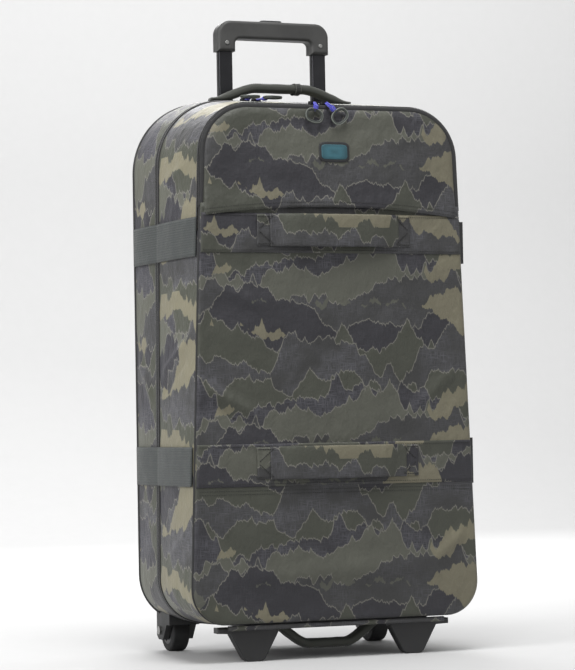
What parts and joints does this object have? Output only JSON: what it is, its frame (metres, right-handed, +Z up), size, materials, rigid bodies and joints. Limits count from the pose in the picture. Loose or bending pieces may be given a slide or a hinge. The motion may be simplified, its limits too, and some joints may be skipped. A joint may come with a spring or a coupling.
{
  "type": "rolling duffel bag",
  "caption": "Upright wheeled duffel bag with clamshell front, top pocket flap, telescopic pull handle, carry handles and front feet.",
  "frame": {"origin": "on the floor, under the middle of the standing bag", "axes": "+Z up along the bag's length, -Y towards the front panel, +X to the bag's left as worn, right as seen from the front"},
  "size_m": [0.4586, 0.3123, 0.971],
  "materials": {
    "camo_fabric": "camouflage ripstop nylon, matt",
    "side_fabric": "camouflage ripstop nylon, lighter side panels",
    "webbing": "ribbed nylon webbing",
    "piping": "black coated piping cord",
    "zip_tape": "black coil zip tape",
    "zip_metal": "black lacquered die-cast",
    "pull_cord": "blue braided cord with grey-green moulded ring",
    "hard_plastic": "black moulded plastic, fine grain",
    "lining": "plain dark lining",
    "board": "stiff polyethylene sheet",
    "tube": "black anodised, satin",
    "grip_plastic": "soft-touch moulded plastic",
    "button_plastic": "matt black",
    "tyre": "polyurethane tread",
    "hub": "moulded nylon",
    "steel": "zinc plated",
    "patch": "plain moulded patch, left bare"
  },
  "bodies": {
    "root": {"rear_gusset": "side_fabric", "main_zip_rear_tape": "zip_tape", "rear_piping": "piping", "back_panel": "hard_plastic", "base_panel": "hard_plastic", "base_tray": "hard_plastic", "base_board": "board", "bottom_binding": "camo_fabric", "tube_divider": "lining", "kick_plate": "hard_plastic", "back_rails": "hard_plastic", "front_feet": "hard_plastic", "wheel_housing_left": "hard_plastic", "wheel_housing_right": "hard_plastic", "axles": "steel", "outer_tubes": "tube", "tube_bracket": "hard_plastic", "handle_bezel": "hard_plastic", "top_handle_anchors": "webbing", "top_handle": "webbing", "bottom_handle": "webbing"},
    "front_shell": {"front_gusset_left": "side_fabric", "front_gusset_right": "side_fabric", "front_gusset_top": "side_fabric", "main_zip_front_tape": "zip_tape", "front_piping": "piping", "front_panel": "camo_fabric", "flap_zip_lid_tape": "zip_tape", "pocket_liner": "lining", "upper_strap_band": "camo_fabric", "lower_strap_band": "camo_fabric", "front_handle_upper": "camo_fabric", "front_handle_lower": "camo_fabric", "handle_tabs": "camo_fabric", "compression_wings": "webbing", "strap_ends": "webbing"},
    "flap": {"top_flap": "camo_fabric", "flap_zip_tape": "zip_tape", "flap_patch": "patch"},
    "middle_stage": {"middle_tubes": "tube"},
    "grip_stage": {"inner_tubes": "tube", "lock_plugs": "hard_plastic", "grip_rivets": "steel", "grip": "grip_plastic"},
    "button": {"grip_button": "button_plastic"},
    "left_wheel": {"tyre_left": "tyre", "wheel_hub_left": "hub"},
    "right_wheel": {"tyre_right": "tyre", "wheel_hub_right": "hub"},
    "upper_hook": {"hook_upper": "hard_plastic"},
    "lower_hook": {"hook_lower": "hard_plastic"},
    "left_main_slider": {"main_slider_left": "zip_metal"},
    "right_main_slider": {"main_slider_right": "zip_metal"},
    "left_main_pull": {"main_pull_left": "pull_cord"},
    "right_main_pull": {"main_pull_right": "pull_cord"},
    "left_flap_slider": {"flap_slider_left": "zip_metal"},
    "right_flap_slider": {"flap_slider_right": "zip_metal"},
    "left_flap_pull": {"flap_pull_left": "pull_cord"},
    "right_flap_pull": {"flap_pull_right": "pull_cord"}
  },
  "joints": [
    {"name": "front_shell_hinge", "type": "hinge", "parent": "root", "child": "front_shell", "pos_m": [0, -0.137, 0.0545], "axis": [1, 0, 0], "range_deg": [0, 90]},
    {"name": "flap_hinge", "type": "hinge", "parent": "front_shell", "child": "flap", "pos_m": [0, -0.1386, 0.6524], "axis": [-1, 0, 0], "range_deg": [-90, 0]},
    {"name": "middle_stage_slide", "type": "slide", "parent": "root", "child": "middle_stage", "axis": [0, 0, 1], "range_m": [0, 0.09]},
    {"name": "grip_stage_slide", "type": "slide", "parent": "middle_stage", "child": "grip_stage", "axis": [0, 0, 1], "range_m": [-0.066, 0.09]},
    {"name": "button_press", "type": "slide", "parent": "grip_stage", "child": "button", "axis": [0, 0, -1], "range_m": [0, 0.003], "stiffness_N_per_m": 400},
    {"name": "left_wheel_spin", "type": "hinge", "parent": "root", "child": "left_wheel", "pos_m": [-0.165, 0.12, 0.032], "axis": [1, 0, 0], "continuous": true},
    {"name": "right_wheel_spin", "type": "hinge", "parent": "root", "child": "right_wheel", "pos_m": [0.165, 0.12, 0.032], "axis": [1, 0, 0], "continuous": true},
    {"name": "upper_hook_hinge", "type": "hinge", "parent": "front_shell", "child": "upper_hook", "pos_m": [0.21462, -0.116, 0.611], "axis": [0, 0, -1], "range_deg": [0, 60]},
    {"name": "lower_hook_hinge", "type": "hinge", "parent": "front_shell", "child": "lower_hook", "pos_m": [0.22405, -0.116, 0.284], "axis": [0, 0, -1], "range_deg": [0, 60]},
    {"name": "left_main_slider_slide", "type": "slide", "parent": "front_shell", "child": "left_main_slider", "axis": [1, 0, 0], "range_m": [-0.018, 0]},
    {"name": "right_main_slider_slide", "type": "slide", "parent": "front_shell", "child": "right_main_slider", "axis": [1, 0, 0], "range_m": [0, 0.13]},
    {"name": "left_flap_slider_slide", "type": "slide", "parent": "flap", "child": "left_flap_slider", "axis": [1, 0, 0], "range_m": [-0.08, 0]},
    {"name": "right_flap_slider_slide", "type": "slide", "parent": "flap", "child": "right_flap_slider", "axis": [1, 0, 0], "range_m": [0, 0.1]},
    {"name": "left_main_pull_hinge", "type": "hinge", "parent": "left_main_slider", "child": "left_main_pull", "pos_m": [-0.073, 0.016, 0.83581], "axis": [-1, 0, 0], "range_deg": [0, 90]},
    {"name": "right_main_pull_hinge", "type": "hinge", "parent": "right_main_slider", "child": "right_main_pull", "pos_m": [-0.055, 0.016, 0.83581], "axis": [-1, 0, 0], "range_deg": [0, 90]},
    {"name": "left_flap_pull_hinge", "type": "hinge", "parent": "left_flap_slider", "child": "left_flap_pull", "pos_m": [-0.024, -0.1388, 0.814], "axis": [-1, 0, 0], "range_deg": [0, 90]},
    {"name": "right_flap_pull_hinge", "type": "hinge", "parent": "right_flap_slider", "child": "right_flap_pull", "pos_m": [-0.006, -0.1388, 0.814], "axis": [-1, 0, 0], "range_deg": [0, 90]}
  ]
}
